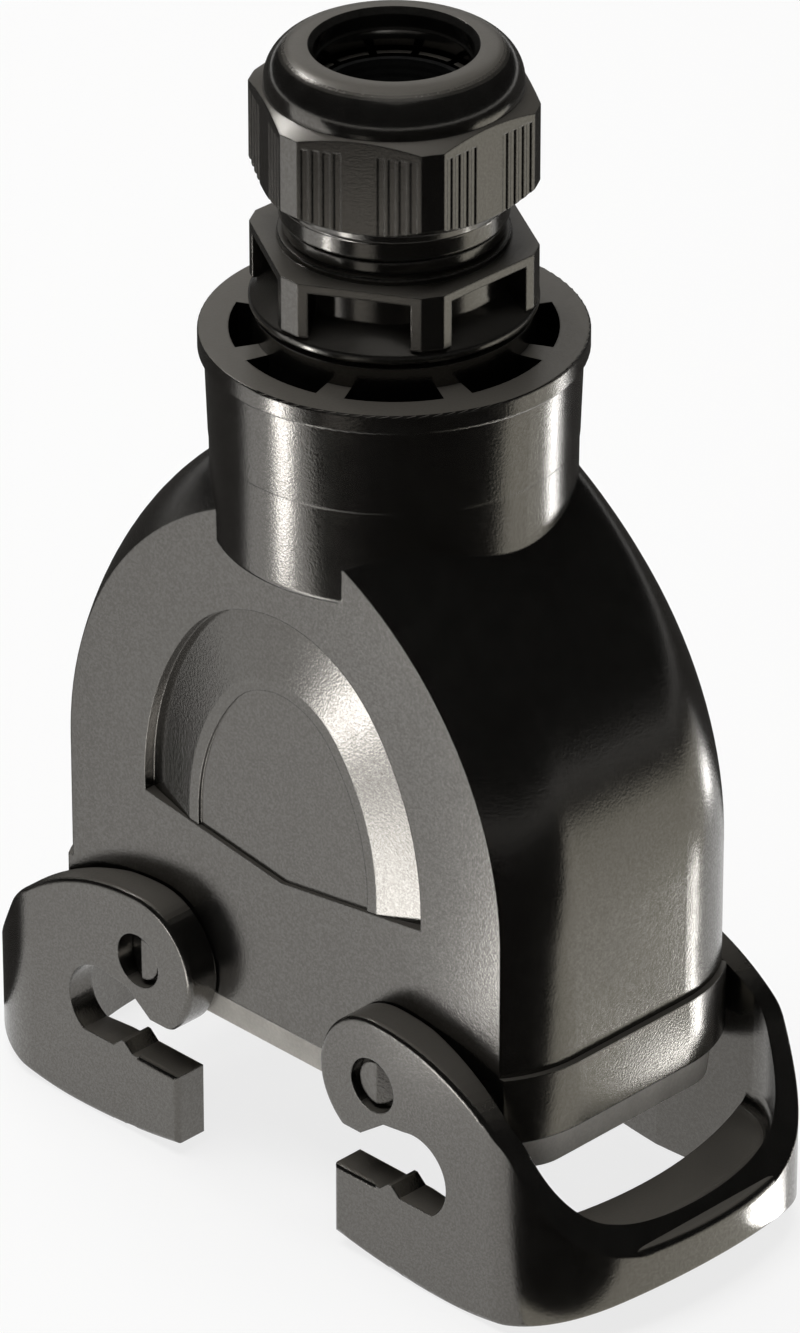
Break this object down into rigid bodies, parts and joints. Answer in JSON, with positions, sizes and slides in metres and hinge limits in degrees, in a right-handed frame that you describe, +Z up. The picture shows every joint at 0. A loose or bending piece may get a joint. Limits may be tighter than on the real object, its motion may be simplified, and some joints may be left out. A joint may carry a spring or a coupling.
{
  "type": "heavy-duty connector hood",
  "caption": "Arched plastic connector hood with a top cable gland, a rim seal and locking levers that swing at its ends.",
  "frame": {"origin": "centre of the hood in plan, at the height of the levers' lowest lines", "axes": "+Z up along the cable entry, +X along the hood's length, +Y through its thickness"},
  "size_m": [0.1258, 0.0554, 0.1705],
  "materials": {
    "moulded_hood": "fine moulded texture",
    "moulded_lever": "fine moulded texture",
    "gland_plastic": "satin moulded",
    "pale_seal": "matt",
    "dark_rubber": "matt",
    "turned_brass": "turned"
  },
  "bodies": {
    "hood": {"hood_shell": "moulded_hood", "rim_gasket": "pale_seal", "gland_body": "gland_plastic", "gland_o_ring": "dark_rubber", "clamping_cage": "gland_plastic", "sealing_grommet": "dark_rubber", "threaded_bush_front_left": "turned_brass", "threaded_bush_back_left": "turned_brass", "threaded_bush_front_right": "turned_brass", "threaded_bush_back_right": "turned_brass"},
    "right_lever": {"right_lever": "moulded_lever"},
    "left_lever": {"left_lever": "moulded_lever"},
    "cap_nut": {"cap_nut": "gland_plastic"}
  },
  "joints": [
    {"name": "right_lever_swing", "type": "hinge", "parent": "hood", "child": "right_lever", "pos_m": [0.02335, 0, 0.0292], "axis": [0, -1, 0], "range_deg": [0, 60]},
    {"name": "left_lever_swing", "type": "hinge", "parent": "hood", "child": "left_lever", "pos_m": [-0.02335, 0, 0.0292], "axis": [0, 1, 0], "range_deg": [0, 60]},
    {"name": "cap_nut_turn", "type": "hinge", "parent": "hood", "child": "cap_nut", "pos_m": [0, 0, 0.16], "axis": [0, 0, 1], "range_deg": [0, 1440]}
  ]
}
